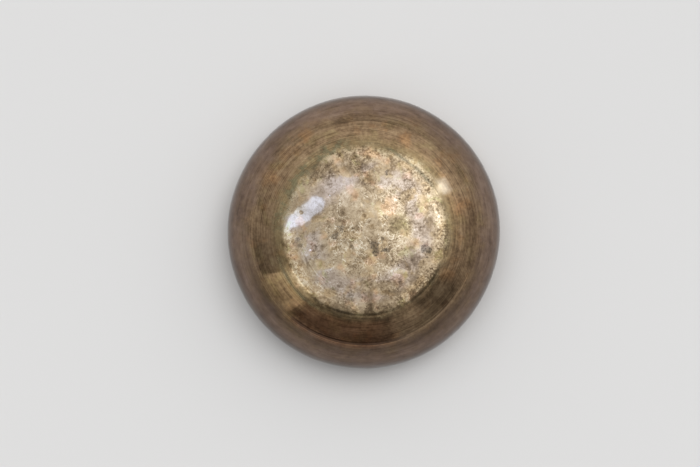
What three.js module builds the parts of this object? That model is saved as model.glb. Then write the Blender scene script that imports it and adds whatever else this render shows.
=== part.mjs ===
// A plain high-tin bronze bowl, forged from one casting and turned on a lathe, lying mouth down on its lip.
// Millimetres, +Z up. The origin is the centre of the lip plane, and the base faces up.
import * as THREE from 'three';

// Outside form
const widestRadius = 68;
const height = 56.5;
const wallCurveRadius = 42; // the wall is one arc from the base disc, over the widest point, to the lip
const discRadius = 39.8; // the low raised disc that carries the bowl when it stands mouth up
const discCrownRadius = 170;
const discEdgeRadius = 6;
const discCoveRadius = 6; // the hollow between the disc's edge and the wall
const discEdgeSlope = 28; // degrees from level, at the steepest line of the disc's edge

// Thickness of the metal
const baseThickness = 2.4;
const wallThickness = 1.8;
const lipThickness = 2.8;
const lipRounding = 0.5;
const lipBandHeight = 9; // the wall swells towards the lip over this height
const lipSwellAngle = 9; // degrees between the inside face and the outside face at the lip
const insideCorner = { start: 0.74, end: 1.2 }; // inside, floor turns into wall between these shares of discRadius

// Hand work: each line is a number of lobes, how far they stand out of the true circle, and where one points
const outOfRound = [
  { lobes: 2, depth: 0.21, towards: 60 },
  { lobes: 3, depth: 0.07, towards: 40 },
  { lobes: 4, depth: 0.06, towards: 8 },
  { lobes: 5, depth: 0.05, towards: 19 },
  { lobes: 6, depth: 0.05, towards: 0 },
];

// Fineness of the facets
const facetsRound = 80;
const crownSteps = 8;
const edgeSteps = 3;
const wallSteps = 17;
const lipSteps = 3;
const insideWallSteps = 8;
const insideCornerSteps = 5;
const insideFloorSteps = 5;

const radians = THREE.MathUtils.degToRad;
const levelAngle = Math.PI / 2;

// The unit vector that stands square to a surface sloping down and outwards by this angle from level.
function outwards(slope) {
  return new THREE.Vector2(Math.sin(slope), Math.cos(slope));
}

function beside(point, direction, distance) {
  return point.clone().addScaledVector(direction, distance);
}

// Points along an arc, given by the directions from its centre to its two ends.
function arcPoints(centre, radius, from, to, steps, clockwise = true) {
  const start = Math.atan2(from.y, from.x);
  const end = Math.atan2(to.y, to.x);
  return new THREE.EllipseCurve(centre.x, centre.y, radius, radius, start, end, clockwise).getPoints(steps);
}

// Points along a curve that leaves one point in one direction and reaches another point in another direction.
function sweptPoints(start, startDirection, end, endDirection, steps, reach = 1 / 3) {
  const handle = start.distanceTo(end) * reach;
  const first = beside(start, startDirection, handle);
  const second = beside(end, endDirection, -handle);
  return new THREE.CubicBezierCurve(start, first, second, end).getPoints(steps);
}

// The circle of the wall's outside, which touches the widest radius and brings the lip's rounding to z = 0.
// The chain of arcs above it fixes how far down from the base it lies.
function outsideChain() {
  const centreX = widestRadius - wallCurveRadius;
  const steep = radians(discEdgeSlope);
  const wallStart = Math.asin(
    (discRadius + discCoveRadius * Math.sin(steep) - centreX) / (wallCurveRadius + discCoveRadius),
  );
  const crownEndX = (discRadius - discEdgeRadius * Math.sin(steep)) / (1 - discEdgeRadius / discCrownRadius);
  const crownEnd = Math.asin(crownEndX / discCrownRadius);

  const crownCentre = new THREE.Vector2(0, height - discCrownRadius);
  const edgeCentre = beside(crownCentre, outwards(crownEnd), discCrownRadius - discEdgeRadius);
  const coveCentre = beside(edgeCentre, outwards(steep), discEdgeRadius + discCoveRadius);
  const wallCentre = beside(coveCentre, outwards(wallStart), -discCoveRadius - wallCurveRadius);
  return { steep, wallStart, crownEnd, crownCentre, edgeCentre, coveCentre, wallCentre };
}

// The half section, from the axis at the base, down the outside, round the lip and up the inside to the axis.
function meridian() {
  const { steep, wallStart, crownEnd, crownCentre, edgeCentre, coveCentre, wallCentre } = outsideChain();
  const lipReach = wallCurveRadius - lipRounding;
  const lipLean = Math.asin((wallCentre.y - lipRounding) / lipReach);
  const lipSlope = levelAngle + lipLean;
  const down = new THREE.Vector2(0, -1);

  const outerRoundCentre = beside(wallCentre, outwards(lipSlope), lipReach);
  const innerRoundX = outerRoundCentre.x - lipThickness + 2 * lipRounding;
  const innerRoundCentre = new THREE.Vector2(innerRoundX, lipRounding);
  const insideLean = lipLean + radians(lipSwellAngle);
  const insideUp = new THREE.Vector2(Math.sin(insideLean), Math.cos(insideLean));
  const insideFace = new THREE.Vector2(-insideUp.y, insideUp.x);

  const insideRadius = wallCurveRadius - wallThickness;
  const swellEndSlope = levelAngle - Math.asin((lipBandHeight - wallCentre.y) / insideRadius);
  const swellEnd = beside(wallCentre, outwards(swellEndSlope), insideRadius);
  const lipInside = beside(innerRoundCentre, insideFace, lipRounding);

  const floorRadius = discCrownRadius - baseThickness;
  const cornerStartSlope = Math.asin((insideCorner.start * discRadius) / floorRadius);
  const cornerEndSlope = Math.asin((insideCorner.end * discRadius - wallCentre.x) / insideRadius);
  const cornerStart = beside(crownCentre, outwards(cornerStartSlope), floorRadius);
  const cornerEnd = beside(wallCentre, outwards(cornerEndSlope), insideRadius);
  const inwards = (slope) => new THREE.Vector2(-Math.cos(slope), Math.sin(slope));

  const stretches = [
    arcPoints(crownCentre, discCrownRadius, outwards(0), outwards(crownEnd), crownSteps),
    arcPoints(edgeCentre, discEdgeRadius, outwards(crownEnd), outwards(steep), edgeSteps),
    arcPoints(coveCentre, discCoveRadius, outwards(steep).negate(), outwards(wallStart).negate(), edgeSteps, false),
    arcPoints(wallCentre, wallCurveRadius, outwards(wallStart), outwards(lipSlope), wallSteps),
    arcPoints(outerRoundCentre, lipRounding, outwards(lipSlope), down, lipSteps),
    arcPoints(innerRoundCentre, lipRounding, down, insideFace, lipSteps),
    sweptPoints(lipInside, insideUp, swellEnd, inwards(swellEndSlope), lipSteps),
    arcPoints(wallCentre, insideRadius, outwards(swellEndSlope), outwards(cornerEndSlope), insideWallSteps, false),
    sweptPoints(cornerEnd, inwards(cornerEndSlope), cornerStart, inwards(cornerStartSlope), insideCornerSteps),
    arcPoints(crownCentre, floorRadius, outwards(cornerStartSlope), outwards(0), insideFloorSteps, false),
  ];
  const points = stretches.flat().filter((point, i, all) => i === 0 || point.distanceTo(all[i - 1]) > 1e-6);
  points[0].x = 0;
  points.at(-1).x = 0;
  return points;
}

// Moves each point of the turned shell in or out a little, more towards the widest part, as hammering does.
function workByHand(geometry) {
  const position = geometry.getAttribute('position');
  const point = new THREE.Vector3();
  for (let i = 0; i < position.count; i++) {
    point.fromBufferAttribute(position, i);
    const radius = Math.hypot(point.x, point.y);
    const angle = Math.atan2(point.y, point.x);
    const share = (radius / widestRadius) ** 2;
    const offset = outOfRound.reduce(
      (sum, { lobes, depth, towards }) => sum + depth * Math.cos(lobes * (angle - radians(towards))),
      0,
    );
    const scale = radius > 0 ? 1 + (offset * share) / radius : 1;
    position.setXY(i, point.x * scale, point.y * scale);
  }
}

function bowl() {
  const shell = new THREE.LatheGeometry(meridian().reverse(), facetsRound);
  shell.rotateX(Math.PI / 2);
  workByHand(shell);
  shell.computeVertexNormals();
  const bronze = new THREE.MeshStandardMaterial({ color: 0x8f7656, metalness: 0.9, roughness: 0.42 });
  const mesh = new THREE.Mesh(shell, bronze);
  mesh.name = 'bowl';
  return mesh;
}

const part = new THREE.Group();
part.add(bowl());

export default part;
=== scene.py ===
import math

import bpy
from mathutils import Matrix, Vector


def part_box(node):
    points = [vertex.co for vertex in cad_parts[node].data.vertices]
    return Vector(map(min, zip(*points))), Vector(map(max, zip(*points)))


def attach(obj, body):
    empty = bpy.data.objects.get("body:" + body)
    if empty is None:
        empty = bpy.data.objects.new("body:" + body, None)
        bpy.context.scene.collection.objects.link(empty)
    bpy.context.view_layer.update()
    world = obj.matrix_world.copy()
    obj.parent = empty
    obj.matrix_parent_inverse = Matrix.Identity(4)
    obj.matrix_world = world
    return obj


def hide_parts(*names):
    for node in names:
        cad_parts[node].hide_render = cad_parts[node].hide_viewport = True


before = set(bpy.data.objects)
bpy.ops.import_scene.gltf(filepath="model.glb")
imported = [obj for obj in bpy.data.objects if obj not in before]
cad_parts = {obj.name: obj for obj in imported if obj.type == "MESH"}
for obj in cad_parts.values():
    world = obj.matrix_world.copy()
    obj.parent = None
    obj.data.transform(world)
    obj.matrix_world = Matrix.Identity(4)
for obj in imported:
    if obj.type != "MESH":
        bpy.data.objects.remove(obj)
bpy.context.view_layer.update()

# A turned high-tin bronze bowl, lying mouth down on its lip on a pale table and seen from straight above.

MM = 0.001
low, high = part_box("bowl")

# The turned form
HEIGHT = high.z - low.z
WIDEST_RADIUS = 68 * MM
WALL_CURVE = 42 * MM
DISC_RADIUS = 39.8 * MM
DISC_CROWN = 170 * MM
DISC_EDGE = 6 * MM
DISC_COVE = 6 * MM
DISC_EDGE_SLOPE = math.radians(28)
BASE_THICKNESS = 2.4 * MM
WALL_THICKNESS = 1.8 * MM
LIP_THICKNESS = 2.8 * MM
LIP_ROUNDING = 0.5 * MM
LIP_BAND = 9 * MM
LIP_SWELL = math.radians(9)
# Inside, the floor turns into the wall between these shares of the disc's radius
INSIDE_CORNER = (0.74, 1.2)

# How far hammering left it out of round: lobes, depth in mm, and the angle that one lobe points to
OUT_OF_ROUND = ((2, 0.21, 60), (3, 0.07, 40), (4, 0.06, 8), (5, 0.05, 19), (6, 0.05, 0))

# Fineness of the mesh along the section
DISC_STEP = 0.5 * MM
WALL_STEP = 0.28 * MM
EDGE_STEP = 0.2 * MM
INSIDE_STEP = 1.1 * MM
SAME_POINT = 0.01 * MM

# Fineness of the mesh round the axis: a row has half as many faces where they would be narrower
AROUND = {"disc": 480, "wall": 240, "lip": 240, "inside": 120}
NARROWEST = {"disc": 0.3 * MM, "wall": 0.3 * MM, "lip": 0.3 * MM, "inside": 0.9 * MM}
FEWEST_AROUND = 15


def outwards(slope):
    """The unit vector square to a surface that slopes down and outwards by this angle from level."""
    return Vector((math.sin(slope), math.cos(slope)))


def inwards(slope):
    """The unit vector along such a surface, towards the axis."""
    return Vector((-math.cos(slope), math.sin(slope)))


def arc(centre, radius, start, end, step):
    """Points along an arc of the section, between two directions given as slopes."""
    count = max(3, round(abs((end - start) * radius) / step))
    return [centre + outwards(start + (end - start) * i / count) * radius for i in range(count + 1)]


def sweep(start, leaving, end, arriving, step):
    """Points along a curve that leaves one point and reaches another in the directions given."""
    reach = (end - start).length
    count = max(3, round(reach / step))
    first = start + leaving * reach / 3
    second = end - arriving * reach / 3
    points = []
    for i in range(count + 1):
        t = i / count
        u = 1 - t
        points.append(u ** 3 * start + 3 * u * u * t * first + 3 * u * t * t * second + t ** 3 * end)
    return points


def section():
    """The half section, from the base's centre down the outside, round the lip and back up the inside.
    Each point comes with the zone that it lies in."""
    centre_x = WIDEST_RADIUS - WALL_CURVE
    foot = DISC_RADIUS + DISC_COVE * math.sin(DISC_EDGE_SLOPE) - centre_x
    wall_start = math.asin(foot / (WALL_CURVE + DISC_COVE))
    crown_end_x = (DISC_RADIUS - DISC_EDGE * math.sin(DISC_EDGE_SLOPE)) / (1 - DISC_EDGE / DISC_CROWN)
    crown_end = math.asin(crown_end_x / DISC_CROWN)
    crown = Vector((0, HEIGHT - DISC_CROWN))
    edge = crown + outwards(crown_end) * (DISC_CROWN - DISC_EDGE)
    cove = edge + outwards(DISC_EDGE_SLOPE) * (DISC_EDGE + DISC_COVE)
    wall = cove - outwards(wall_start) * (DISC_COVE + WALL_CURVE)

    lip_reach = WALL_CURVE - LIP_ROUNDING
    lean = math.asin((wall.y - LIP_ROUNDING) / lip_reach)
    lip_slope = math.pi / 2 + lean
    outer_round = wall + outwards(lip_slope) * lip_reach
    inner_round = Vector((outer_round.x - LIP_THICKNESS + 2 * LIP_ROUNDING, LIP_ROUNDING))
    inside_lean = lean + LIP_SWELL
    inside_slope = 1.5 * math.pi + inside_lean
    lip_inside = inner_round + outwards(inside_slope) * LIP_ROUNDING

    inside_curve = WALL_CURVE - WALL_THICKNESS
    floor_curve = DISC_CROWN - BASE_THICKNESS
    swell_end = math.pi / 2 - math.asin((LIP_BAND - wall.y) / inside_curve)
    corner_end = math.asin((INSIDE_CORNER[1] * DISC_RADIUS - wall.x) / inside_curve)
    corner_start = math.asin(INSIDE_CORNER[0] * DISC_RADIUS / floor_curve)
    swell_top = wall + outwards(swell_end) * inside_curve
    corner_foot = wall + outwards(corner_end) * inside_curve
    corner_top = crown + outwards(corner_start) * floor_curve

    stretches = (
        ("disc", arc(crown, DISC_CROWN, 0, crown_end, DISC_STEP)),
        ("disc", arc(edge, DISC_EDGE, crown_end, DISC_EDGE_SLOPE, EDGE_STEP)),
        ("wall", arc(cove, -DISC_COVE, DISC_EDGE_SLOPE, wall_start, EDGE_STEP)),
        ("wall", arc(wall, WALL_CURVE, wall_start, lip_slope, WALL_STEP)),
        ("lip", arc(outer_round, LIP_ROUNDING, lip_slope, math.pi, EDGE_STEP)),
        ("lip", arc(inner_round, LIP_ROUNDING, math.pi, inside_slope, EDGE_STEP)),
        ("inside", sweep(lip_inside, outwards(inside_lean), swell_top, inwards(swell_end), INSIDE_STEP)),
        ("inside", arc(wall, inside_curve, swell_end, corner_end, INSIDE_STEP)),
        ("inside", sweep(corner_foot, inwards(corner_end), corner_top, inwards(corner_start), INSIDE_STEP)),
        ("inside", arc(crown, floor_curve, corner_start, 0, INSIDE_STEP)),
    )
    points = []
    for zone, stretch in stretches:
        for point in stretch:
            if not points or (point - points[-1][0]).length > SAME_POINT:
                points.append((point, zone))
    return points


def worked_radius(radius, angle):
    """The radius at this angle round the axis, once hammering has moved the turned wall in or out."""
    offset = 0
    for lobes, depth, towards in OUT_OF_ROUND:
        offset += depth * MM * math.cos(lobes * (angle - math.radians(towards)))
    return radius + offset * (radius / WIDEST_RADIUS) ** 2


def faces_around(radius, zone, previous):
    """How many faces one row of the shell has. It only halves or doubles from row to row."""
    wanted = AROUND[zone]
    while wanted > FEWEST_AROUND and 2 * math.pi * radius / wanted < NARROWEST[zone]:
        wanted //= 2
    if previous:
        wanted = min(max(wanted, previous // 2), previous * 2)
    return wanted


def faces_between(first, count, below, count_below):
    """The faces between two rows, each given as its first point and how many points it has."""
    faces = []
    if 1 in (count, count_below):
        around = max(count, count_below)
        for j in range(around):
            k = (j + 1) % around
            faces.append((first, below + j, below + k) if count == 1 else (first + j, below, first + k))
        return faces
    around = min(count, count_below)
    for j in range(around):
        k = (j + 1) % around
        if count == count_below:
            faces.append((first + j, below + j, below + k, first + k))
        elif count < count_below:
            faces.append((first + j, below + 2 * j, below + 2 * j + 1, below + 2 * k, first + k))
        else:
            faces.append((first + 2 * j, below + j, below + k, first + 2 * k, first + 2 * j + 1))
    return faces


def turned_shell():
    """The bowl's mesh: rows of points round the axis, with more points where a row is long."""
    mesh = bpy.data.meshes.new("bowl_shell")
    points, along, inside = [], [], []
    rows = []
    travelled = 0
    profile = section()
    for i, (point, zone) in enumerate(profile):
        if i:
            travelled += (point - profile[i - 1][0]).length
        pole = i in (0, len(profile) - 1)
        previous = rows[-1][1] if len(rows) > 1 else 0
        count = 1 if pole else faces_around(point.x, zone, previous)
        rows.append((len(points), count))
        for j in range(count):
            angle = 2 * math.pi * j / count
            radius = 0 if pole else worked_radius(point.x, angle)
            points.append((radius * math.cos(angle), radius * math.sin(angle), point.y))
            along.append(travelled)
            inside.append(1.0 if zone == "inside" else 0.0)

    faces = []
    for row, row_below in zip(rows, rows[1:]):
        faces += faces_between(*row, *row_below)
    mesh.from_pydata(points, [], faces)
    for name, values in (("along", along), ("inside", inside)):
        mesh.attributes.new(name, "FLOAT", "POINT").data.foreach_set("value", values)
    mesh.update()
    return mesh


class Wiring:
    """Places nodes in a tree and joins them. An input is a plain value or another node's output."""

    def __init__(self, tree):
        self.tree = tree
        tree.nodes.clear()

    def node(self, kind, inputs=None, **settings):
        node = self.tree.nodes.new(kind)
        for name, value in settings.items():
            setattr(node, name, value)
        for key, value in (inputs or {}).items():
            if isinstance(value, bpy.types.NodeSocket):
                self.tree.links.new(value, node.inputs[key])
            else:
                node.inputs[key].default_value = value
        return node

    def maths(self, operation, *values):
        return self.node("ShaderNodeMath", dict(enumerate(values)), operation=operation).outputs[0]

    def times(self, *factors):
        """The product of numbers, of which the first is a node's output."""
        product = factors[0]
        for factor in factors[1:]:
            product = self.maths("MULTIPLY", product, factor)
        return product

    def vector(self, operation, *values):
        node = self.node("ShaderNodeVectorMath", dict(enumerate(values)), operation=operation)
        return node.outputs["Value" if operation in ("LENGTH", "DOT_PRODUCT", "DISTANCE") else "Vector"]

    def scaled(self, vector, factor):
        node = self.node("ShaderNodeVectorMath", {0: vector, "Scale": factor}, operation="SCALE")
        return node.outputs["Vector"]

    def join(self, x, y, z):
        return self.node("ShaderNodeCombineXYZ", {0: x, 1: y, 2: z}).outputs[0]

    def parts(self, vector):
        return self.node("ShaderNodeSeparateXYZ", {0: vector}).outputs

    def span(self, value, start, end, first=0.0, last=1.0):
        """Goes smoothly from one number to another as the value goes from start to end."""
        inputs = {"Value": value, 1: start, 2: end, 3: first, 4: last}
        return self.node("ShaderNodeMapRange", inputs, interpolation_type="SMOOTHSTEP").outputs[0]

    def band(self, value, start, end, soft):
        """1 between start and end, falling softly to 0 outside them."""
        rise = self.span(value, start - soft, start + soft)
        return self.times(rise, self.span(value, end - soft, end + soft, 1.0, 0.0))

    def blend(self, amount, first, second, mode="MIX"):
        """Mixes two colours."""
        node = self.node("ShaderNodeMix", data_type="RGBA", blend_type=mode)
        for index, value in ((0, amount), (6, first), (7, second)):
            if isinstance(value, bpy.types.NodeSocket):
                self.tree.links.new(value, node.inputs[index])
            elif index:
                node.inputs[index].default_value = (*value[:3], 1)
            else:
                node.inputs[index].default_value = value
        return node.outputs[2]

    def between(self, amount, first, second):
        """Mixes two numbers."""
        return self.node("ShaderNodeMix", {0: amount, 2: first, 3: second}, data_type="FLOAT").outputs[0]

    def noise(self, vector, scale, detail=2.0, roughness=0.5, distortion=0.0):
        inputs = {"Vector": vector, "Scale": scale, "Detail": detail, "Roughness": roughness,
                  "Distortion": distortion}
        return self.node("ShaderNodeTexNoise", inputs).outputs[0]

    def cells(self, vector, scale):
        """Cells scattered through space: how far off the nearest centre is, and a random number for it."""
        node = self.node("ShaderNodeTexVoronoi", {"Vector": vector, "Scale": scale})
        return node.outputs["Distance"], self.parts(node.outputs["Color"])[0]

    def attribute(self, name):
        return self.node("ShaderNodeAttribute", attribute_name=name).outputs["Fac"]


def paint(red, green, blue):
    """A colour given from 0 to 255, as paint charts do, as the linear numbers that shaders want."""
    shares = (red / 255, green / 255, blue / 255)
    return tuple(((share + 0.055) / 1.055) ** 2.4 for share in shares)


# The room that the bronze mirrors. Angles are in degrees: round from +X, and down from overhead.
# Along the way down: how bright the room is, which side of it is brighter, and by how much
ROOM_LEVELS = ((0, 0.86), (10, 0.92), (20, 0.98), (28, 0.97), (45, 0.88), (65, 0.74), (84, 0.64))
BRIGHT_SIDE = ((0, 30), (28, 34), (46, 45), (64, 66), (84, 80))
SIDE_SWING = ((0, 0.0), (12, 0.20), (28, 0.36), (45, 0.50), (60, 0.54), (84, 0.56))
# Between these angles down the room turns into a glow as plain as the table
HORIZON = (85.0, 86.5)
HORIZON_GLOW = 0.73
# Panels and gaps: from and to round the room, from and to down from overhead, softness, and brightness
# at the top and at the bottom
PANELS = (
    (18, 62, 33, 64, 9.0, 1.65, 1.50),
    (186, 208, 48, 84.5, 1.5, 0.42, 0.34),
    (204.5, 227.5, 36, 84, 0.5, 1.14, 0.74),
    (204.5, 209.5, 40, 80, 0.5, 1.16, 0.98),
    (229, 286, 46, 84.5, 4.0, 0.30, 0.15),
    (304, 332, 46, 84.5, 5.0, 0.32, 0.27),
    (22.0, 31.5, 48, 68, 1.6, 1.75, 1.10),
    (25.6, 30.8, 43.5, 55, 0.9, 2.45, 2.10),
)
# The panels' edges go this many degrees round for each degree down from here
PANEL_LEAN = 0.08
LEAN_FROM = 70.0
PANELS_END = 86.0

# A soft diffuser: where it is, where its glow starts and is full, how much of it shows, and its colour
DIFFUSER_AT = (26, 24)
DIFFUSER_REACH = (20, 4)
DIFFUSER_SHARE = 0.62
DIFFUSER_LIGHT = (1.75, 1.78, 1.80)

# A strip lamp that opens from a point. Its ends are degrees down from overhead, towards +X and +Y.
STRIP_ENDS = ((-27.5, 1.4), (-16.7, 9.9))
STRIP_WIDTHS = (0.35, 2.9)
STRIP_OPENS = (-0.12, 0.48)
STRIP_SOFT = 0.3
STRIP_LIGHT = (1.45, 1.75, 2.35)
# The dimmer end of the strip lamp
TAIL_AT = (-7.5, 15.5)
TAIL_REACH = (3.0, 8.5)
TAIL_SHARE = 0.8
TAIL_LIGHT = (1.20, 1.26, 1.45)

# Wide lamps that give the bowl its shadow on the table: where they stand round it, and their strength
SOFT_LAMPS = ((49, 0.96), (128, 0.62))
SOFT_LAMP_DOWN = 27
SOFT_LAMP_SPREAD = math.radians(32)

TABLE_HALF = 40.0
TABLE_COLOUR = (0.550, 0.546, 0.541, 1)

# The camera looks straight down. Its picture takes in this width at the height of the widest part.
LENS = 100
SENSOR = 36
VIEW_CENTRE = (-6.9 * MM, -0.75 * MM)
VIEW_WIDTH = 350 * MM
WIDEST_HEIGHT = 11.5 * MM


def levels(w, value, stops):
    """A number that follows a row of stops along another number."""
    top = stops[-1][0]
    node = w.node("ShaderNodeFloatCurve", {0: 1.0, 1: w.maths("DIVIDE", value, top)})
    highest = max(level for _, level in stops)
    curve = node.mapping.curves[0]
    while len(curve.points) < len(stops):
        curve.points.new(1.0, 1.0)
    for point, (position, level) in zip(curve.points, stops):
        point.location = (position / top, level / highest)
    node.mapping.update()
    return w.times(node.outputs[0], highest)


def aimed(round_from_x, down):
    """The unit vector to a place in the room."""
    turn, tilt = math.radians(round_from_x), math.radians(down)
    return (math.cos(turn) * math.sin(tilt), math.sin(turn) * math.sin(tilt), math.cos(tilt))


def with_panel(w, light, leaning, down, panel):
    """The room's light with one panel or gap in it, soft at its edges."""
    start, end, top, bottom, soft, at_top, at_bottom = panel
    half = (end - start) / 2
    turned = w.maths("WRAP", w.maths("SUBTRACT", leaning, start + half), 180.0, -180.0)
    across = w.span(w.maths("ABSOLUTE", turned), half - soft, half + soft, 1.0, 0.0)
    low_soft = min(soft, PANELS_END - bottom)
    upper_edge = w.span(down, top - soft, top + soft)
    lower_edge = w.span(down, bottom - low_soft, bottom + low_soft, 1.0, 0.0)
    level = w.span(down, top, bottom, at_top, at_bottom)
    return w.between(w.times(across, upper_edge, lower_edge), light, level)


def with_diffuser(w, light, direction):
    """The room's light with the diffuser over it."""
    facing = w.vector("DOT_PRODUCT", direction, aimed(*DIFFUSER_AT))
    outer, inner = (math.cos(math.radians(angle)) for angle in DIFFUSER_REACH)
    return w.blend(w.times(w.span(facing, outer, inner), DIFFUSER_SHARE), light, DIFFUSER_LIGHT)


def with_strip_lamp(w, light, place):
    """The room's light with the strip lamp and its dimmer end in it."""
    start, end = (Vector((*point, 0)) for point in STRIP_ENDS)
    reach = end - start
    offset = w.vector("SUBTRACT", place, tuple(start))
    share = w.maths("DIVIDE", w.vector("DOT_PRODUCT", offset, tuple(reach)), reach.length_squared)
    share = w.node("ShaderNodeClamp", {0: share}).outputs[0]
    gap = w.vector("DISTANCE", offset, w.scaled(tuple(reach), share))
    width = w.span(share, *STRIP_OPENS, *STRIP_WIDTHS)
    strip = w.span(w.maths("SUBTRACT", gap, width), -STRIP_SOFT, STRIP_SOFT, 1.0, 0.0)
    tail = w.span(w.vector("DISTANCE", place, (*TAIL_AT, 0)), *TAIL_REACH, 1.0, 0.0)
    light = w.blend(w.times(tail, TAIL_SHARE), light, TAIL_LIGHT)
    return w.blend(strip, light, STRIP_LIGHT)


def studio_room():
    """The room round the bowl, brighter on one side."""
    world = bpy.data.worlds.new("studio")
    bpy.context.scene.world = world
    world.use_nodes = True
    w = Wiring(world.node_tree)
    direction = w.node("ShaderNodeTexCoord").outputs["Generated"]
    x, y, z = w.parts(direction)
    down = w.maths("DEGREES", w.maths("ARCCOSINE", z))
    round_angle = w.maths("DEGREES", w.maths("ARCTAN2", y, x))

    off_side = w.maths("RADIANS", w.maths("SUBTRACT", round_angle, levels(w, down, BRIGHT_SIDE)))
    swing = w.maths("MULTIPLY_ADD", w.maths("COSINE", off_side), levels(w, down, SIDE_SWING), 1.0)
    light = w.times(levels(w, down, ROOM_LEVELS), swing)
    light = w.between(w.span(down, *HORIZON), light, HORIZON_GLOW)
    leaning = w.maths("MULTIPLY_ADD", w.maths("SUBTRACT", down, LEAN_FROM), PANEL_LEAN, round_angle)
    for panel in PANELS:
        light = with_panel(w, light, leaning, down, panel)
    light = w.join(light, light, light)
    light = with_diffuser(w, light, direction)
    place = w.scaled(w.vector("NORMALIZE", w.join(x, y, 0.0)), down)
    light = with_strip_lamp(w, light, place)

    background = w.node("ShaderNodeBackground", {"Color": light, "Strength": 1.0})
    w.node("ShaderNodeOutputWorld", {"Surface": background.outputs[0]})


def soft_lamp(round_from_x, energy):
    """One of the lamps for the shadow. The bronze mirrors the room, not this lamp."""
    lamp = bpy.data.lights.new("soft_lamp", "SUN")
    lamp.energy = energy
    lamp.angle = SOFT_LAMP_SPREAD
    stand = bpy.data.objects.new("soft_lamp", lamp)
    towards = Vector(aimed(round_from_x, SOFT_LAMP_DOWN))
    stand.rotation_euler = towards.to_track_quat("Z", "Y").to_euler()
    stand.visible_glossy = False
    bpy.context.collection.objects.link(stand)


def table():
    """A pale table top that catches the bowl's shadow."""
    mesh = bpy.data.meshes.new("table")
    corners = [(x * TABLE_HALF, y * TABLE_HALF, 0) for x, y in ((-1, -1), (1, -1), (1, 1), (-1, 1))]
    mesh.from_pydata(corners, [], [(0, 1, 2, 3)])
    floor = bpy.data.objects.new("table", mesh)
    bpy.context.collection.objects.link(floor)
    material = bpy.data.materials.new("pale_table")
    material.use_nodes = True
    w = Wiring(material.node_tree)
    shader = w.node("ShaderNodeBsdfDiffuse", {"Color": TABLE_COLOUR})
    w.node("ShaderNodeOutputMaterial", {"Surface": shader.outputs[0]})
    mesh.materials.append(material)


def camera():
    """The camera, straight above the table and a little off the bowl's axis."""
    data = bpy.data.cameras.new("camera")
    data.sensor_width = SENSOR
    data.lens = LENS
    data.clip_end = 300
    eye = bpy.data.objects.new("camera", data)
    eye.location = (*VIEW_CENTRE, WIDEST_HEIGHT + VIEW_WIDTH * LENS / SENSOR)
    bpy.context.collection.objects.link(eye)
    bpy.context.scene.camera = eye


# Hand work on the turned shell, in millimetres: width of one mark, and how far it stands up or sinks in
HAND_WORK = {
    "Turning pitch": 0.95, "Turning depth": 0.016,
    "Hammer width": 11.0, "Hammer depth": 0.08,
    "Grain width": 3.0, "Grain depth": 0.014,
    "Pit spacing": 4.2, "Pit depth": 0.12,
}
# The disc's cast skin gives way to turned metal between these radii
CAST_SKIN_ENDS = (38.4 * MM, 40.4 * MM)


def lathe_marks(w, given, along, facing, radius, z, on_disc):
    """Lines round the axis that fade in and out, deeper on the lower wall and faint on the disc's rim."""
    turns = w.join(0.0, 0.0, w.maths("DIVIDE", along, given["Turning pitch"]))
    lines = w.noise(w.vector("ADD", w.scaled(facing, 0.35), turns), 1.0, 1.0)
    slow_turns = w.join(0.0, 5.0, w.maths("DIVIDE", along, 7 * MM))
    bite = w.noise(w.vector("ADD", w.scaled(facing, 1.6), slow_turns), 1.0, 1.0)
    bite = w.span(bite, 0.35, 0.6, 0.35, 1.3)
    wall_bite = w.span(z, 30 * MM, 15 * MM, 1.0, 1.5)
    rim_bite = w.times(w.band(radius, 33 * MM, 39.4 * MM, 1.5 * MM), 0.5)
    bite = w.times(bite, w.between(on_disc, wall_bite, rim_bite))
    return w.times(w.maths("SUBTRACT", lines, 0.5), w.times(given["Turning depth"], 2.0), bite)


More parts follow.
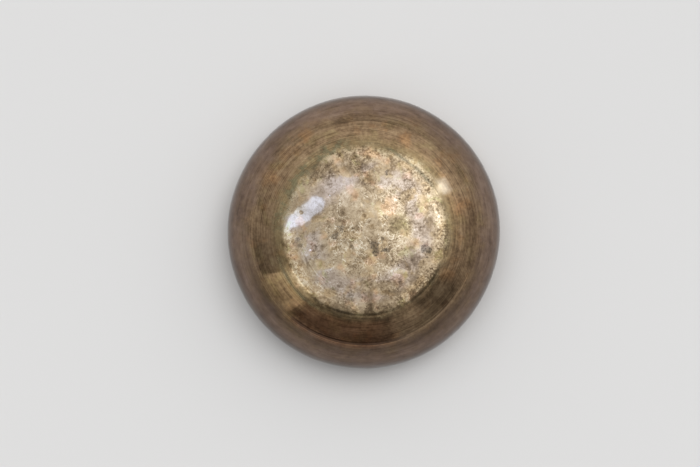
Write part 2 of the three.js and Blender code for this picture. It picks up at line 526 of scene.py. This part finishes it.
def hand_work_tree():
    """Geometry nodes that leave the marks of the lathe, the hammer and the casting on the shell."""
    tree = bpy.data.node_groups.new("hand_work", "GeometryNodeTree")
    sockets = tree.interface
    sockets.new_socket("Shell", in_out="INPUT", socket_type="NodeSocketGeometry")
    for name in HAND_WORK:
        sockets.new_socket(name, in_out="INPUT", socket_type="NodeSocketFloat")
    sockets.new_socket("Finish", in_out="INPUT", socket_type="NodeSocketMaterial")
    sockets.new_socket("Bowl", in_out="OUTPUT", socket_type="NodeSocketGeometry")
    w = Wiring(tree)
    given = w.node("NodeGroupInput").outputs
    place = w.node("GeometryNodeInputPosition").outputs[0]
    along = w.node("GeometryNodeInputNamedAttribute", {"Name": "along"}, data_type="FLOAT").outputs[0]
    inside = w.node("GeometryNodeInputNamedAttribute", {"Name": "inside"}, data_type="FLOAT").outputs[0]
    x, y, z = w.parts(place)
    flat = w.join(x, y, 0.0)
    radius = w.vector("LENGTH", flat)
    facing = w.vector("NORMALIZE", flat)
    outside = w.maths("SUBTRACT", 1.0, inside)
    on_disc = w.times(w.span(radius, *CAST_SKIN_ENDS, 1.0, 0.0), outside)
    turning = lathe_marks(w, given, along, facing, radius, z, on_disc)

    def per(width):
        return w.maths("DIVIDE", 1.0, given[width])

    # hammer: a slow unevenness of the whole shell, stronger on the lower wall
    blows = w.noise(place, per("Hammer width"), 1.0, 0.4)
    hammer = w.times(w.maths("SUBTRACT", blows, 0.5), given["Hammer depth"])
    hammer = w.times(hammer, w.between(on_disc, w.span(z, 34 * MM, 18 * MM, 1.0, 1.9), 0.3))

    # casting: grain and pits, mostly on the disc, which was never turned smooth
    grain = w.maths("SUBTRACT", w.noise(place, per("Grain width"), 1.0, 0.4), 0.5)
    grain = w.times(grain, given["Grain depth"], w.between(on_disc, 0.22, 1.0))
    gap, luck = w.cells(place, per("Pit spacing"))
    size = w.times(w.span(luck, 0.45, 1.0), 0.30)
    pits = w.span(w.maths("SUBTRACT", gap, size), -0.10, 0.02, 1.0, 0.0)
    pits = w.times(pits, w.span(luck, 0.45, 0.6), w.between(on_disc, 0.15, 1.0))
    sunk = w.times(pits, given["Pit depth"])

    height = w.maths("ADD", w.maths("ADD", turning, hammer), w.maths("SUBTRACT", grain, sunk))
    # the land of the lip stays flat
    height = w.times(height, w.span(z, 0.6 * MM, 2.5 * MM))
    push = w.scaled(w.node("GeometryNodeInputNormal").outputs[0], height)
    moved = w.node("GeometryNodeSetPosition", {"Geometry": given["Shell"], "Offset": push})
    smooth = w.node("GeometryNodeSetShadeSmooth", {"Geometry": moved.outputs[0]})
    real = w.node("GeometryNodeRealizeInstances", {"Geometry": smooth.outputs[0]})
    finish = {"Geometry": real.outputs[0], "Material": given["Finish"]}
    w.node("NodeGroupOutput", {0: w.node("GeometryNodeSetMaterial", finish).outputs[0]})
    return tree


def worked(shell, material):
    """The shell with the hand work on it, as a plain mesh."""
    blank = bpy.data.objects.new("blank", shell)
    bpy.context.collection.objects.link(blank)
    modifier = blank.modifiers.new("hand work", "NODES")
    modifier.node_group = hand_work_tree()
    for item in modifier.node_group.interface.items_tree:
        if item.name in HAND_WORK:
            modifier[item.identifier] = HAND_WORK[item.name] * MM
        if item.name == "Finish":
            modifier[item.identifier] = material
    finished = blank.evaluated_get(bpy.context.evaluated_depsgraph_get())
    mesh = bpy.data.meshes.new_from_object(finished)
    mesh.name = "bowl_bronze"
    bpy.data.objects.remove(blank)
    return mesh


# How bright the bronze is, from its darkest marks to its most worn ones: place on the scale, and colour
DISC_TONES = (
    (0.28, paint(92, 75, 55)), (0.40, paint(148, 128, 101)), (0.50, paint(190, 170, 141)),
    (0.60, paint(213, 195, 166)), (0.72, paint(244, 233, 211)),
)
WALL_TONES = (
    (0.28, paint(78, 58, 40)), (0.41, paint(114, 91, 66)), (0.50, paint(140, 115, 87)),
    (0.60, paint(160, 135, 104)), (0.72, paint(190, 167, 134)),
)
POLISHED_TONE = 0.51
VERDIGRIS = paint(92, 94, 70)
BLACK_GREEN = paint(50, 50, 38)
STAIN = paint(64, 56, 48)
# painted highlight: the cream of the small bright spot on the wall at the upper right
PAINTED_HIGHLIGHT_CREAM = paint(208, 194, 172)
# Tints, as factors on red, green and blue
LILAC = (0.97, 1.01, 1.22)
GOLD = (1.03, 0.985, 0.90)
ROSE = (1.07, 0.97, 0.95)
CREAM = (1.05, 0.985, 0.90)
LEAF_GREEN = (0.94, 1.00, 0.86)
OLIVE = (0.95, 1.01, 0.88)
ORANGE = (1.16, 0.98, 0.80)
RED_BROWN = (1.22, 0.98, 0.92)
MAUVE = (0.84, 0.85, 1.12)
STRAW = (0.97, 0.96, 0.84)
LOW_GOLD = (1.20, 1.10, 0.86)
GROOVE_DIRT = (0.42, 0.40, 0.38)
# painted shade: the outer wall darker towards the bottom, standing in for the darker reflection there
PAINTED_SHADE_DEEP = (0.58, 0.565, 0.55)
PAINTED_SHADE_SOFT = (0.74, 0.74, 0.74)
# painted light: the outer wall lighter towards the top, where the lit table is mirrored
PAINTED_LIGHT_TOP = (1.22, 1.21, 1.18)

# Marks on the bowl, in millimetres: across, up, how wide, and how strong
STAINS = (
    (4.4, -6.2, 2.4, 0.95), (5.8, -9.6, 2.1, 0.95), (8.8, -3.6, 1.3, 0.7), (10.6, -8.4, 1.6, 0.9),
    (28.3, -7.6, 1.8, 0.9), (29.6, -8.8, 2.5, 0.85), (30.2, -10.0, 1.5, 0.9), (-11.3, 2.2, 1.5, 0.7),
    (-14.0, -1.7, 1.9, 0.8), (-5.9, -8.1, 1.4, 0.5), (15.5, -16.8, 0.6, 0.9), (10.7, 28.6, 1.3, 0.7),
    (-31.7, -4.8, 2.0, 0.6), (-6.9, -31.5, 2.6, 0.5),
)
SMEARS = ((1.7, 23.8, 3.6, 0.8), (11.2, 11.9, 2.8, 0.5), (-19.0, 7.0, 4.0, 0.3), (17.5, 3.0, 5.0, 0.8))
# lighter worn spots, partly painted highlights: the one on the rim at the left and the wide one towards the
# upper right
WORN_AND_HIGHLIT_SPOTS = (
    (-14.2, -19.7, 4.5, 0.7), (23.1, 11.7, 3.0, 0.5), (30.7, 4.1, 3.0, 0.3), (-29.4, -9.8, 4.0, 0.5),
    (-9.3, -23.9, 4.0, 0.5), (5.0, 10.9, 3.4, 0.9), (7.6, -1.0, 1.4, 1.0), (16.9, -5.3, 2.2, 0.6),
    (13.6, -18.2, 2.6, 0.6), (27.0, 21.0, 6.0, 0.4), (-24.0, -24.5, 4.5, 0.5), (-38.4, -1.2, 2.8, 0.9),
    (-9.3, -16.7, 1.6, 0.9),
)
POLISHED = (
    (-30.0, 7.0, 9.0, 1.0), (-23.5, 14.5, 9.0, 1.0), (-9.0, 24.0, 6.5, 0.9), (38.5, 21.2, 6.0, 1.0),
)
LILAC_SPOTS = ((-33.8, 4.4, 4.4, 0.95),)
GREEN_SPOTS = ((17.5, 3.0, 4.5, 0.8),)
ORANGE_SPOTS = (
    (-28.7, 47.0, 3.2, 0.9), (19.8, 44.6, 3.0, 0.8), (-47.0, 28.0, 5.0, 0.5), (46.0, 12.0, 5.0, 0.4),
    (39.5, -20.5, 3.6, 0.7),
)
WALL_STAINS = (
    (-39.4, -30.6, 3.4, 0.9), (-51.0, 31.0, 2.2, 0.8), (-20.5, -43.5, 3.5, 0.7), (-13.0, 52.0, 3.0, 0.5),
)
# painted highlight: the small bright spot where the room's brightest panel shows on the wall
PAINTED_HIGHLIGHT_SPOTS = ((37.6, 21.2, 3.6, 0.60),)

# A direction is in degrees: which way, how far to either side, and how softly it ends.
# Where the disc's worn outline strays from a circle: direction, and how many millimetres inwards
DISC_STRAYS = (((51, 14, 10), -2.6), ((2, 26, 16), -1.0), ((96, 18, 14), -1.8), ((178, 36, 18), 1.3))
# Stretches of rings that are lighter or darker: by how much, then in millimetres from and to which radius
# and how softly it ends, and direction
# painted light and shade on the disc: lighter to the left and lower left, darker at the bottom
DISC_PAINTED_LIGHT_AND_SHADE = (
    (0.035, 28, 36, 3, (200, 24, 14)), (-0.03, 28, 36, 3, (275, 42, 14)),
    (0.03, 19, 28, 3, (246, 22, 12)),
)
# painted highlight in a thin ring on the right, painted shade on the rim at the bottom and lower right
RIM_PAINTED_LIGHT_AND_SHADE = (
    (0.11, 34.9, 36.3, 0.4, (17, 9, 5)), (-0.05, 33.5, 39.0, 2.0, (266, 12, 12)),
    (-0.10, 37.0, 44.0, 2.4, (292, 70, 20)),
)
# painted highlights on the rim at the left and lower left
RIM_PAINTED_HIGHLIGHTS = ((0.17, 34.6, 39.0, 1.3, (197, 22, 6)), (0.12, 35.6, 39.2, 1.3, (224, 16, 10)))
# The same for the wall, with a tint in place of the change in brightness
# the two broad darker stretches towards the bottom are painted shade, the lighter one towards the top is
# painted light
WALL_TINTS = (
    (GROOVE_DIRT, 53.5, 54.9, 0.3, (258, 30, 8)), (PAINTED_SHADE_DEEP, 54, 60, 2.5, (265, 72, 28)),
    (PAINTED_SHADE_SOFT, 56, 90, 2, (262, 72, 40)), (STRAW, 43, 56, 2, (216, 12, 6)),
    (PAINTED_LIGHT_TOP, 56, 65, 3, (92, 20, 20)),
)
GROOVE_PITCH = 1.0


class Patina(Wiring):
    """Wiring for the bronze, with the patterns of wear and tarnish. Lengths are in millimetres."""

    def __init__(self, tree):
        super().__init__(tree)
        self.place = self.scaled(self.node("ShaderNodeTexCoord").outputs["Object"], 1 / MM)
        self.along = self.maths("DIVIDE", self.attribute("along"), MM)
        self.outside = self.maths("SUBTRACT", 1.0, self.attribute("inside"))
        x, y, self.height = self.parts(self.place)
        flat = self.join(x, y, 0.0)
        self.radius = self.vector("LENGTH", flat)
        self.facing = self.vector("NORMALIZE", flat)
        self.ragged = self.stirred(self.place, 2.4, 3.0)
        self.ragged_flat = self.stirred(flat, 3.6, 7.0)

        self.fine = self.cloud(0.9, 3.0, 0.65)
        self.broad = self.cloud(11.0, 3.0, 0.55)
        self.polished = self.marks(POLISHED, 0.35)
        self.stained = self.marks(STAINS, 0.18)

        # the disc's worn outline is uneven and a little off centre
        self.wander = self.times(self.maths("SUBTRACT", self.cloud(5.0, 4.0, 0.6), 0.5), 5)
        self.drift = self.times(self.vector("DOT_PRODUCT", self.facing, (-0.82, -0.57, 0)), -0.9)
        loose = self.maths("ADD", self.radius, self.maths("ADD", self.wander, self.drift))
        for towards, strays in DISC_STRAYS:
            loose = self.maths("MULTIPLY_ADD", self.facing_towards(*towards), strays, loose)
        self.loose_radius = loose
        self.on_disc = self.times(self.span(loose, 37.8, 43.4, 1.0, 0.0), self.outside)

    def stirred(self, vector, wavelength, amount):
        """The vector pushed about by noise, so that spots placed with it come out ragged."""
        noise = self.node("ShaderNodeTexNoise", {"Vector": vector, "Scale": 1 / wavelength, "Detail": 5.0})
        push = self.vector("SUBTRACT", noise.outputs[1], (0.5, 0.5, 0.5))
        return self.vector("ADD", vector, self.scaled(push, amount))

    def cloud(self, wavelength, detail=2.0, roughness=0.5, distortion=0.0):
        """Noise whose largest blotches are this far across."""
        return self.noise(self.place, 1 / wavelength, detail, roughness, distortion)

    def drawn(self, across, round_it, detail=2.0, shift=0.0, roughness=0.5):
        """Noise drawn out round the axis: width along the section, and how quickly it changes round."""
        rows = self.maths("ADD", self.maths("DIVIDE", self.along, across), shift)
        place = self.vector("ADD", self.scaled(self.facing, round_it), self.join(0.0, 0.0, rows))
        return self.noise(place, 1.0, detail, roughness)

    def mix_of(self, *terms):
        """A middle tone with some contrast of each noise added: pairs of strength and noise."""
        total = 0.5
        for strength, noise in terms:
            total = self.maths("MULTIPLY_ADD", self.maths("SUBTRACT", noise, 0.5), strength, total)
        return total

    def changed(self, tone, *changes):
        """The tone with an amount added wherever a mask is 1: pairs of amount and mask."""
        for amount, mask in changes:
            tone = self.maths("MULTIPLY_ADD", mask, amount, tone)
        return tone

    def tones(self, value, stops):
        """The colour that a tone has on a scale."""
        node = self.node("ShaderNodeValToRGB", {0: value})
        ramp = node.color_ramp
        while len(ramp.elements) < len(stops):
            ramp.elements.new(1.0)
        for element, (position, colour) in zip(ramp.elements, stops):
            element.position = position
            element.color = (*colour, 1)
        return node.outputs[0]

    def tinted(self, colour, amount, tint):
        """The colour with a tint over it wherever a mask is 1."""
        return self.blend(amount, colour, self.blend(1.0, colour, tint, "MULTIPLY"))

    def facing_towards(self, angle, half, soft):
        """1 where the surface lies in this direction from the axis."""
        turn = math.radians(angle)
        aim = self.vector("DOT_PRODUCT", self.facing, (math.cos(turn), math.sin(turn), 0))
        return self.span(aim, math.cos(math.radians(half + soft)), math.cos(math.radians(half - soft)))

    def stretch(self, radius, start, end, soft, towards):
        """1 on a stretch of a ring."""
        return self.times(self.facing_towards(*towards), self.band(radius, start, end, soft))

    def shades(self, radius, rows):
        """Pairs of amount and mask for rows of a table of shades."""
        return [(amount, self.stretch(radius, *where)) for amount, *where in rows]

    def marks(self, spots, soft):
        """1 on each of a row of ragged spots."""
        total = 0.0
        for across, up, wide, strength in spots:
            gap = self.vector("DISTANCE", self.ragged_flat, (across, up, 0))
            spot = self.span(gap, wide * (1 - soft), wide * (1 + soft), strength, 0.0)
            total = self.maths("MAXIMUM", total, spot)
        return self.times(total, self.outside)

    def specks(self, spacing, rarest, size, soft=0.04):
        """Small crisp spots: distance between cells, which share of them has none, and size in cells."""
        gap, luck = self.cells(self.ragged, 1 / spacing)
        reach = self.span(luck, rarest, 1.0, size * 0.3, size)
        spot = self.span(self.maths("SUBTRACT", gap, reach), -soft, soft, 1.0, 0.0)
        return self.times(spot, self.maths("GREATER_THAN", luck, rarest))

    def threads(self, noise, level, faint, full):
        """1 along the thin lines where a noise passes a level."""
        return self.span(self.maths("ABSOLUTE", self.maths("SUBTRACT", noise, level)), faint, full)


def disc_tone(w):
    """How bright the disc is: worn by standing on it, mottled and cloudy, with painted light and shade
    towards its rim.
    """
    busy = w.span(w.cloud(9.0, 3.0, 0.55, 0.4), 0.42, 0.56, 0.2, 1.0)
    tone = w.mix_of((0.54, w.cloud(14.0, 7.0, 0.70, 0.3)), (w.between(busy, 0.12, 0.34), w.fine),
                    (0.30, w.cloud(5.5, 5.0, 0.66, 0.6)))
    pale_flecks = w.times(busy, w.span(w.cloud(2.0, 4.0, 0.70, 0.5), 0.560, 0.595))
    dark_flecks = w.times(busy, w.span(w.cloud(1.8, 4.0, 0.70, 0.5), 0.440, 0.405))
    pale_patches = w.span(w.cloud(8.0, 6.0, 0.62, 0.8), 0.515, 0.535)
    dark_patches = w.span(w.cloud(6.0, 6.0, 0.62, 1.0), 0.45, 0.43)
    tone = w.changed(tone, (0.095, pale_flecks), (-0.075, dark_flecks))
    tone = w.changed(tone, (0.06, pale_patches), (-0.035, dark_patches))
    # lighter worn spots, partly painted highlights, and darker smears
    tone = w.changed(tone, (0.09, w.marks(WORN_AND_HIGHLIT_SPOTS, 0.6)), (-0.09, w.marks(SMEARS, 0.35)))

    large_specks = w.times(w.specks(3.4, 0.45, 0.20), w.span(w.broad, 0.66, 0.44, 0.4, 1.0))
    small_specks = w.times(w.specks(1.7, 0.55, 0.24), w.span(w.cloud(9.0, 2.0), 0.47, 0.58))
    pale_specks = w.times(w.specks(1.9, 0.60, 0.26), w.span(w.cloud(7.0, 2.0), 0.50, 0.60))
    tone = w.changed(tone, (-0.06, large_specks), (-0.07, small_specks), (0.09, pale_specks))

    veins = w.times(w.threads(w.cloud(6.0, 3.0, 0.6, 1.4), 0.5, 0.020, 0.007), w.span(w.radius, 34, 10),
                    w.span(w.cloud(9.0, 2.0, 0.5, 0.5), 0.42, 0.50))
    cracks = w.times(w.threads(w.cloud(7.5, 4.0, 0.6, 1.0), 0.47, 0.010, 0.003), w.span(w.radius, 36, 16))
    tone = w.changed(tone, (0.22, veins), (-0.09, cracks))

    # most worn in the middle, with painted light and shade in stretches of rings further out
    tone = w.changed(tone, (-0.02, w.span(w.radius, 9, 14)), (-0.012, w.span(w.radius, 26, 20)),
                     (-0.035, w.span(w.radius, 18, 27)), *w.shades(w.radius, DISC_PAINTED_LIGHT_AND_SHADE))
    tone = w.changed(tone, *rim_changes(w))
    return w.between(w.times(w.polished, 0.50), tone, POLISHED_TONE)


def rim_changes(w):
    """What the disc's rim adds to its tone: painted highlights and painted shade, tarnish and scraped
    lines.
    """
    # painted light: the rim lighter on the side towards the lamps at the upper right
    painted_lit_side = w.times(w.band(w.loose_radius, 34.0, 39.0, 1.6), w.span(w.fine, 0.42, 0.64, -0.3, 1.0),
                          w.facing_towards(20, 60, 30))
    changes = [(0.06, painted_lit_side)]
    # painted highlights on the rim at the left and lower left, mottled
    glints = w.span(w.cloud(1.6, 4.0, 0.68, 0.4), 0.40, 0.58, 0.1, 1.15)
    for amount, mask in w.shades(w.loose_radius, RIM_PAINTED_HIGHLIGHTS):
        changes.append((amount, w.times(glints, mask)))
    # painted highlight in a thin ring on the right, painted shade at the bottom and lower right
    changes += w.shades(w.loose_radius, RIM_PAINTED_LIGHT_AND_SHADE)
    changes.append((-0.07, w.span(w.loose_radius, 38.0, 42.0)))
    tarnish = w.stretch(w.loose_radius, 30, 42, 3, (125, 38, 14))
    changes.append((-0.055, w.times(tarnish, w.span(w.cloud(2.4, 4.0, 0.65, 0.6), 0.50, 0.42))))
    scraped = w.stretch(w.loose_radius, 28, 38, 2, (222, 24, 12))
    changes.append((0.10, w.times(scraped, w.span(w.drawn(0.9, 5.0, 2.0, 90.0), 0.54, 0.62))))
    return changes


def disc_colour(w):
    """The disc's tones, with tints and stains over them."""
    disc = w.tones(disc_tone(w), DISC_TONES)
    lilac = w.times(w.band(w.loose_radius, 22, 32.5, 3), w.span(w.broad, 0.38, 0.50))
    lilac = w.maths("MAXIMUM", lilac, w.marks(LILAC_SPOTS, 0.4))
    gold = w.times(w.span(w.cloud(7.5, 3.0, 0.55, 0.4), 0.50, 0.58), w.maths("SUBTRACT", 1.0, lilac))
    cream = w.times(w.facing_towards(212, 30, 10), w.span(w.loose_radius, 31, 35))
    disc = w.tinted(disc, lilac, LILAC)
    disc = w.tinted(disc, gold, GOLD)
    disc = w.tinted(disc, w.span(w.cloud(8.0, 2.0), 0.55, 0.66), ROSE)
    disc = w.tinted(disc, w.span(w.cloud(7.0, 3.0, 0.6, 0.6), 0.59, 0.68), LEAF_GREEN)
    disc = w.tinted(disc, w.marks(GREEN_SPOTS, 0.6), LEAF_GREEN)
    disc = w.tinted(disc, w.times(w.span(w.loose_radius, 36, 41), 0.5), OLIVE)
    disc = w.tinted(disc, cream, CREAM)
    return w.blend(w.times(w.stained, w.span(w.fine, 0.30, 0.62, 1.0, 0.45)), disc, STAIN)


def wall_colour(w, outer):
    """Brown patina drawn out by the lathe, and a smoother mauve one on the outer part of the wall, with
    painted light and shade over them.
    """
    lines = w.drawn(0.95, 2.2, 2.0, 40.0, 0.6)
    swerve = w.times(w.drawn(6.0, 1.6, 2.0, 30.0), 5.0)
    grooves = w.maths("SINE", w.maths("MULTIPLY_ADD", w.along, 2 * math.pi / GROOVE_PITCH, swerve))
    grooves = w.times(w.span(grooves, 0.2, 0.95), w.span(w.drawn(9.0, 2.6, 2.0, 9.0), 0.44, 0.60))
    near_disc = w.span(w.loose_radius, 47, 41)
    tone = w.mix_of((0.34, lines), (0.25, w.drawn(8.0, 4.2, 4.0, 0.0, 0.6)),
                    (0.36, w.cloud(5.0, 6.0, 0.70)), (0.30, w.cloud(1.5, 3.0, 0.65)))
    # painted shade: darker near the disc towards the lower right and on the right; painted light: lighter
    # near the disc on the left
    tone = w.changed(
        tone, (-0.07, grooves), (-0.08, w.marks(WALL_STAINS, 0.5)),
        (-0.10, w.times(near_disc, w.facing_towards(295, 70, 20))),
        (0.06, w.times(w.span(w.loose_radius, 50, 44), w.facing_towards(182, 62, 20))),
        (-0.05, w.stretch(w.radius, 43, 56, 3, (352, 20, 10))),
    )
    wall = w.tones(tone, WALL_TONES)
    olive = w.maths("MAXIMUM", near_disc, w.span(w.drawn(7.0, 5.5, 2.0, 17.0), 0.50, 0.68, 0.0, 0.7))
    wall = w.tinted(wall, w.times(olive, w.between(w.facing_towards(312, 36, 20), 1.0, 0.25)), OLIVE)
    wall = w.tinted(wall, w.times(w.span(w.cloud(8.0, 3.0, 0.55), 0.54, 0.66), 0.4), ORANGE)
    wall = w.tinted(wall, w.marks(ORANGE_SPOTS, 0.6), ORANGE)
    wall = w.tinted(wall, w.stretch(w.radius, 43, 57, 2, (256, 26, 10)), RED_BROWN)

    smooth_tone = w.mix_of((0.18, lines), (0.40, w.drawn(9.0, 3.0, 4.0, 5.0, 0.6)),
                           (0.40, w.cloud(4.0, 6.0, 0.66)))
    mauve = w.blend(1.0, w.tones(smooth_tone, WALL_TONES), MAUVE, "MULTIPLY")
    wall = w.blend(w.times(outer, w.span(w.cloud(7.0, 4.0, 0.6), 0.40, 0.56, 0.74, 0.96)), wall, mauve)
    # painted highlight on the wall at the upper right
    wall = w.blend(w.marks(PAINTED_HIGHLIGHT_SPOTS, 0.6), wall, PAINTED_HIGHLIGHT_CREAM)
    # tints on stretches of the wall, with painted shade towards the bottom and painted light towards the
    # top
    for tint, *where in WALL_TINTS:
        wall = w.tinted(wall, w.stretch(w.radius, *where), tint)
    return w.tinted(wall, w.span(w.height, 24, 13), LOW_GOLD)


def verdigris(w):
    """The green in the hollow round the disc: how much of it there is, and its colour."""
    hollow = w.maths("ADD", w.maths("MULTIPLY_ADD", w.wander, 0.3, w.radius), w.drift)
    hollow = w.maths("MULTIPLY_ADD", w.facing_towards(48, 16, 10), 2.2, hollow)
    line = w.band(hollow, 41.5, 42.9, 1.0)
    corners = w.maths("MAXIMUM", w.facing_towards(55, 20, 6), w.facing_towards(218, 24, 8))
    line = w.times(line, w.maths("MULTIPLY_ADD", corners, 0.50, 0.10))
    patches = w.times(w.band(w.loose_radius, 39.0, 44.6, 1.8), w.span(w.cloud(4.0, 5.0, 0.66), 0.42, 0.58))
    patches = w.times(patches, w.maths("MULTIPLY_ADD", w.facing_towards(140, 38, 14), 0.52, 0.10))
    amount = w.times(w.maths("MAXIMUM", line, patches), w.outside)
    return amount, w.blend(w.span(w.cloud(2.0, 4.0, 0.7), 0.42, 0.58), BLACK_GREEN, VERDIGRIS)


def bronze():
    """The aged bronze: its colours, gloss and tarnish."""
    material = bpy.data.materials.new("aged_bronze")
    material.use_nodes = True
    w = Patina(material.node_tree)

    # the outer part of the wall: past a ragged line, and everywhere near the widest part and below it
    edge_of_wear = w.maths("ADD", w.radius, w.wander)
    edge_of_wear = w.maths("MULTIPLY_ADD", w.maths("SUBTRACT", w.broad, 0.5), 14, edge_of_wear)
    outer = w.maths("MAXIMUM", w.span(edge_of_wear, 53, 62), w.span(w.height, 26, 14))
    green, green_colour = verdigris(w)
    colour = w.blend(w.on_disc, wall_colour(w, outer), disc_colour(w))
    colour = w.blend(green, colour, green_colour)

    wall_gloss = w.between(outer, w.span(w.cloud(5.0, 3.0), 0.40, 0.64, 0.05, 0.13),
                           w.span(w.cloud(7.0, 3.0), 0.38, 0.62, 0.09, 0.19))
    wall_gloss = w.between(w.polished, wall_gloss, 0.04)
    disc_gloss = w.between(w.polished, w.span(w.fine, 0.35, 0.65, 0.20, 0.12), 0.05)
    roughness = w.between(w.on_disc, wall_gloss, disc_gloss)
    dull = w.maths("MAXIMUM", green, w.times(w.on_disc, w.stained))
    roughness = w.between(dull, roughness, 0.5)
    metallic = w.between(w.times(green, 0.5), 1.0, 0.3)

    # scratches too fine for the mesh
    grit = w.times(w.cloud(0.6, 2.0), w.between(w.on_disc, 0.001, 0.003))
    scratches = w.times(w.drawn(0.42, 2.0, 1.0, 60.0), w.between(w.on_disc, 0.003, 0.001))
    relief = w.times(w.maths("ADD", grit, scratches), w.span(w.polished, 0.0, 0.6, 1.0, 0.05))
    bump = w.node("ShaderNodeBump", {"Height": relief, "Strength": 1.0, "Distance": MM})
    shader = w.node("ShaderNodeBsdfPrincipled", {
        "Base Color": colour, "Metallic": metallic, "Roughness": roughness,
        "Normal": bump.outputs[0], "Specular Tint": (0.55, 0.53, 0.52, 1),
        "Coat Weight": 0.28, "Coat Roughness": 0.06, "Coat IOR": 1.5,
    })
    w.node("ShaderNodeOutputMaterial", {"Surface": shader.outputs[0]})
    return material


def bowl():
    """The finished bowl, in place of the CAD one."""
    piece = bpy.data.objects.new("bowl_bronze", worked(turned_shell(), bronze()))
    bpy.context.collection.objects.link(piece)
    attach(piece, "root")
    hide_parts("bowl")


bpy.context.scene.view_settings.view_transform = "Standard"
camera()
studio_room()
for round_from_x, energy in SOFT_LAMPS:
    soft_lamp(round_from_x, energy)
table()
bowl()
